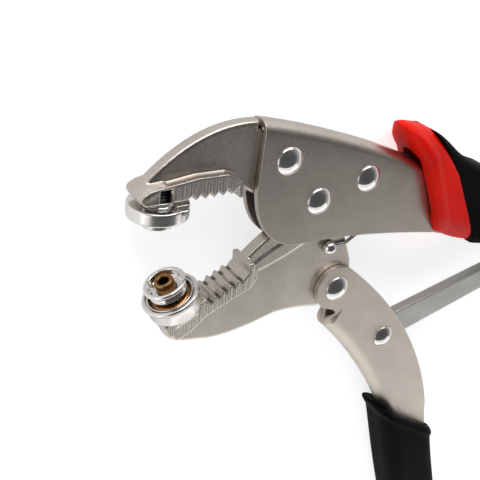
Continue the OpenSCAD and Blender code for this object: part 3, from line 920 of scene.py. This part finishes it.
def upper_channel_room(x, y, z):
    """The room that the upper channel takes inside the sleeve and the collar, open at its rear."""
    past_end = 5
    outline = path(beside(UPPER_BACK, FIT), rear(BACK_X + past_end, REAR_DEPTH / 2),
                   rear(BACK_X + past_end, -REAR_DEPTH / 2), beside(UPPER_EDGE, -FIT)[::-1])
    half = HALF_FRONT + (HALF_REAR - HALF_FRONT) * upper_flare(along_screw(x, y))
    return plate(x, y, z, outline, half + FIT, 0.3)


def upper_grip():
    """The upper sleeve from the seam to the rear, thinner on each side at the seam."""
    taper_start, taper_run, taper = -80, 18, 1
    back_line, edge_line = beside(UPPER_BACK, SLEEVE), beside(UPPER_EDGE, -SLEEVE)
    outline = path(GUARD_TOP[1:], [p for p in even(back_line, 60) if p[0] > 69],
                   [p for p in even(edge_line, 60)[::-1] if p[0] > 70], GUARD_LOW)
    slot = path([p for p in beside(UPPER_EDGE, 2) if p[0] > 45], [[190, -50], [190, -90], [45, -60]])

    def field(x, y, z):
        full = smooth((along_screw(x, y) - taper_start) / taper_run)
        half = HALF_GRIP - 0.05 - taper * (1 - full)
        solid = plate(x, y, z, outline, half, 3.4)
        solid = np.maximum(solid, outline_distance(x, y, SEAM) + FIT)
        return slit(cut(solid, upper_channel_room(x, y, z)), x, y, z, slot)

    thing = carved("upper_grip_sleeve", field, [36, -66, -9.2], [184, 20, 9.2], 0.45)
    finish_piece(thing, black_rubber, "upper_body", "black_grip", "upper_grip")


def collar():
    """A soft ring that stands up in front of the grip, with a thick rolled lip."""
    outline = path(GUARD_TOP, [80, -4], [80, -32], GUARD_LOW, [40, -16])
    front = path([[30.4, 26]], bend([30.4, 18], [32, 13], [36.8, 8.0]),
                 bend([38, 5.6], [43.2, -6], [47.5, -18]), [[50, -32], [0, -32], [0, 26]])
    slot = [[38, -12], [70, -12], [70, -60], [38, -60]]
    bead_r, bead_in, bead_back, lip, lip_length = 2.2, 1.75, 1.4, 3.7, 9

    def field(x, y, z):
        body = plate(x, y, z, outline, HALF_SLEEVE, 7.2)
        ahead = -outline_distance(x, y, front)
        solid = np.maximum(body, ahead)
        solid = join(solid, np.hypot(body + bead_in, ahead + bead_back) - bead_r, 1.6)
        solid = cut(solid, np.maximum(body + lip, -ahead - lip_length), 1.2)
        solid = cut(solid, outline_distance(x, y, SEAM))
        return slit(cut(solid, upper_channel_room(x, y, z)), x, y, z, slot)

    thing = carved("upper_collar_ring", field, [24, -30, -9.4], [68, 22, 9.4], 0.4)
    finish_piece(thing, red_rubber, "upper_body", "red_collar", "upper_grip_collar")


# ---- adjusting screw, link and lever ----

def relief(name, radius, start, end, step, sides):
    """A bar on the screw's axis whose radius depends on angle and run, with both ends closed."""
    origin, u, v, w = turned_frame([*SCREW_TIP, 0], [*SCREW_WAY, 0])
    runs = np.arange(start, end + step / 2, step)
    angles = np.linspace(0, 2 * math.pi, sides, endpoint=False)
    rings = [origin + w * s + radius(angles, s)[:, None] * (np.cos(angles)[:, None] * u
             + np.sin(angles)[:, None] * v) for s in runs]
    verts = np.concatenate(rings + [[origin + w * runs[0]], [origin + w * runs[-1]]])
    faces = ring_faces(len(runs), sides)
    last = (len(runs) - 1) * sides
    faces += [((k + 1) % sides, k, len(verts) - 2) for k in range(sides)]
    faces += [(last + k, last + (k + 1) % sides, len(verts) - 1) for k in range(sides)]
    return tidy_mesh(mesh_object(name, verts, faces, 60))


def adjusting_screw():
    """The threaded shaft, its knurled knob and its bush, all on the screw's axis."""
    pitch, depth, r, shaft_end, tip_r, tip_slope = 1.5, 0.8, 4.0, 48, 2.5, 0.75

    def thread(angles, s):
        phase = (s / pitch - angles / (2 * math.pi)) % 1
        return np.minimum(r - depth * np.abs(2 * phase - 1), tip_r + tip_slope * s)

    shaft = relief("screw_thread_bar", thread, 0, shaft_end, pitch / 8, 48)
    finish_piece(shaft, plated_steel, "screw_shaft", "plated_steel", "adjusting_screw")
    start, length, knob_r, chamfer = 47.2, 23.0, 8.0, 1.6
    grooves, crossings, groove_depth, plain = 36, 7, 0.42, 2.2

    def knurl(angles, s):
        turn, twist = angles * grooves / (2 * math.pi), (s - start) / length * crossings
        ridge = np.maximum(*[np.abs((turn + way * twist) % 1 * 2 - 1) for way in (1, -1)])
        edge = min(s - start, start + length - s)
        return knob_r - max(chamfer - edge, 0) - groove_depth * ridge ** 3 * (edge > plain)

    knob = relief("screw_knob_knurled", knurl, start, start + length, 0.25, grooves * 8)
    finish_piece(knob, plated_steel, "screw_head", "plated_steel", "screw_knob")
    bore_r, bush_r, front, back, corner = 4.05, HALF_REAR - SHEET - FIT / 2, 29, 45, 0.5
    bush = [(bore_r, front), (bush_r - corner, front), (bush_r, front + corner),
            (bush_r, back - corner), (bush_r - corner, back), (bore_r, back)]
    bush = lathe_object("screw_bush", [(bush, [*SCREW_TIP, 0], [*SCREW_WAY, 0], True)])
    finish_piece(bush, plated_steel, "upper_body", "plated_steel", "screw_nut")


def toggle_link():
    """The bar from the link rivet to just before the screw's tip."""
    half, start_r, end_r = 1.8, 5, 3.2
    end = rear(-4.2, -0.2)
    along = end - LINK_PIVOT
    slope = math.degrees(math.atan2(along[1], along[0]))
    unit = along / np.linalg.norm(along)
    outline = path(arc(LINK_PIVOT, start_r, slope + 90, slope + 270),
                   arc(end - end_r * unit, end_r, slope - 90, slope + 90))

    def field(x, y, z):
        solid = plate(x, y, z, outline, half, 0.35)
        return cut(solid, np.hypot(x - LINK_PIVOT[0], y - LINK_PIVOT[1]) - HOLE_R)

    low = [LINK_PIVOT[0] - 6, LINK_PIVOT[1] - 6, -2.2]
    thing = carved("toggle_link_bar", field, low, [end[0] + 1, end[1] + 5, 2.2], 0.3)
    finish_piece(thing, link_steel, "link_body", "forged_steel", "toggle_link")


def release_lever():
    """The lever inside the lower channel, with its thumb end past the sleeve."""
    half, pin_hole_r = 1.8, 1.56
    outline = path(arc([52.4, -97], 2.4, 20, 200), bend([51, -101], [55, -121], [62.8, -142.5]),
                   bend([66, -150], [72, -162], [85.6, -179.2]), arc([88.5, -177], 3.4, 220, 380),
                   bend([89, -171], [80, -160], [71.2, -146]),
                   bend([69.5, -138], [59, -118], [54.7, -96.2]))

    def field(x, y, z):
        solid = plate(x, y, z, outline, half, 0.6)
        return cut(solid, np.hypot(x - LEVER_PIVOT[0], y - LEVER_PIVOT[1]) - pin_hole_r)

    thing = carved("release_lever_pressed", field, [49, -182, -2.3], [93, -94, 2.3], 0.3)
    finish_piece(thing, lighter_painted_sheet, "lever_body", "forged_steel", "release_lever")


# ---- camera, floor and light ----

def camera():
    """The photo's view: from the jaws' side, above and in front."""
    right = Vector((0.857, 0.081, 0.509)).normalized()
    back = Vector((-0.482, 0.474, 0.737))
    back = (back - right * back.dot(right)).normalized()
    data = bpy.data.cameras.new("camera")
    data.lens = 70.5
    data.sensor_width = 36
    data.clip_start = 0.005
    thing = bpy.data.objects.new("camera", data)
    turn = Matrix((right, back.cross(right), back)).transposed().to_4x4()
    place = Vector(row([-152.0, 116.5, 196.7]))
    thing.matrix_world = Matrix.Translation(place) @ turn
    bpy.context.scene.collection.objects.link(thing)
    bpy.context.scene.camera = thing


def softbox(name, place, size, energy):
    """A flat light in watts, aimed just below the jaw pivot, with its place and size in mm."""
    aim_at = [20, -30, 0]
    data = bpy.data.lights.new(name, "AREA")
    data.shape = "RECTANGLE"
    data.size, data.size_y = size[0] * MM, size[1] * MM
    data.energy = energy
    thing = bpy.data.objects.new(name, data)
    thing.location = row(place)
    aim = Vector(row(aim_at)) - thing.location
    thing.rotation_euler = aim.to_track_quat("-Z", "Y").to_euler()
    thing.visible_camera = False
    bpy.context.scene.collection.objects.link(thing)


def paper_floor():
    """White paper under the tool. It glows, and more for the camera than as light on the tool."""
    size, glow_as_light, glow_in_view = 4.0, 0.4, 0.75
    mesh = bpy.data.meshes.new("floor")
    corners = [(-size, -size, 0), (size, -size, 0), (size, size, 0), (-size, size, 0)]
    mesh.from_pydata(corners, [], [(0, 1, 2, 3)])
    floor = bpy.data.objects.new("floor", mesh)
    bpy.context.scene.collection.objects.link(floor)
    paper, nodes, links, shader = material("paper", (0.93, 0.93, 0.93), 0, 0.8)
    shader.inputs["Emission Color"].default_value = (1, 1, 1, 1)
    ray = nodes.new("ShaderNodeLightPath")
    glow = nodes.new("ShaderNodeMapRange")
    glow.inputs["To Min"].default_value = glow_as_light
    glow.inputs["To Max"].default_value = glow_in_view
    links.new(ray.outputs["Is Camera Ray"], glow.inputs["Value"])
    links.new(glow.outputs[0], shader.inputs["Emission Strength"])
    grain = noise(nodes, links, 300)
    add_bump(nodes, links, shader, grain.outputs["Fac"], 0.02, 0.0001)
    mesh.materials.append(paper)


def backdrop():
    """A world that is white to the camera and, as light, bright low down and dark overhead."""
    stops = [(0.0, 0.95), (0.18, 0.85), (0.42, 0.40), (0.72, 0.11), (1.0, 0.08)]
    white = (0.97, 0.97, 0.97, 1)
    world = bpy.data.worlds.new("studio")
    bpy.context.scene.world = world
    world.use_nodes = True
    nodes, links = world.node_tree.nodes, world.node_tree.links
    where = nodes.new("ShaderNodeTexCoord")
    parts = nodes.new("ShaderNodeSeparateXYZ")
    ramp = nodes.new("ShaderNodeValToRGB")
    for place, _ in stops[1:-1]:
        ramp.color_ramp.elements.new(place)
    for element, (place, level) in zip(ramp.color_ramp.elements, stops):
        element.position = place
        element.color = (level, level, level, 1)
    links.new(where.outputs["Generated"], parts.inputs[0])
    links.new(parts.outputs["Z"], ramp.inputs[0])
    ray = nodes.new("ShaderNodeLightPath")
    mix = nodes.new("ShaderNodeMix")
    mix.data_type = "RGBA"
    mix.inputs["B"].default_value = white
    links.new(ray.outputs["Is Camera Ray"], mix.inputs["Factor"])
    links.new(ramp.outputs[0], mix.inputs["A"])
    links.new(mix.outputs["Result"], nodes["Background"].inputs["Color"])


def studio():
    """Colour management, floor, backdrop and lights."""
    scene = bpy.context.scene
    scene.view_settings.view_transform = "Standard"
    scene.cycles.caustics_reflective = False
    scene.cycles.sample_clamp_indirect = 2
    paper_floor()
    backdrop()
    softbox("low_front", (160, -640, 380), (1300, 480), 1.45)
    softbox("back_strip", (40, 620, 300), (800, 260), 2.6)
    softbox("left_fill", (-650, -120, 240), (420, 420), 0.5)


camera()
studio()
upper_handle()
lower_handle()
rivets()
fixed_jaw()
lower_jaw()
upper_die()
lower_die()
spring_pin()
return_spring()
lower_grip()
upper_grip()
collar()
adjusting_screw()
toggle_link()
release_lever()
